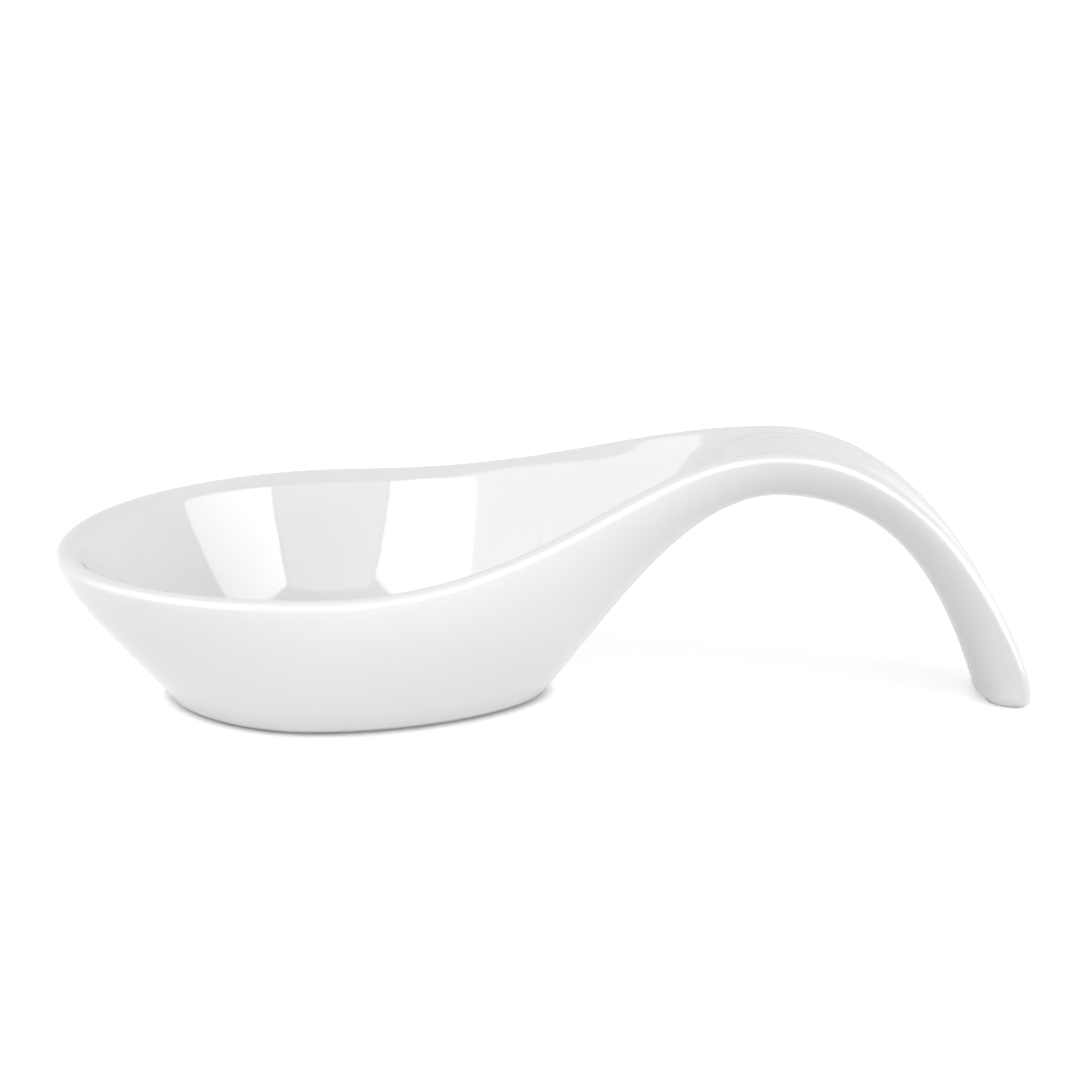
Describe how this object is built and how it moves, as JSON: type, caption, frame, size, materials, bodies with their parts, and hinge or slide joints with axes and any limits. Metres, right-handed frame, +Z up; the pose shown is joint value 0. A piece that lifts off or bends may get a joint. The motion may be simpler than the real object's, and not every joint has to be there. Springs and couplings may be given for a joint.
{
  "type": "spoon rest",
  "caption": "Glazed porcelain spoon rest: a deep oval dish whose rolled rim runs on into an arched handle that comes down to the table.",
  "frame": {"origin": "on the table, under the middle of the object's length and width", "axes": "+X from the front of the dish to the end of the handle, +Z up from the table, Y across the object, which is symmetric about the XZ plane"},
  "size_m": [0.2415, 0.1112, 0.0663],
  "materials": {
    "glaze": "white gloss glaze",
    "bare_porcelain": "bare fired porcelain, matte"
  },
  "bodies": {
    "root": {"bowl": "glaze", "handle": "glaze", "foot_ring": "bare_porcelain", "handle_foot": "bare_porcelain"}
  },
  "joints": []
}
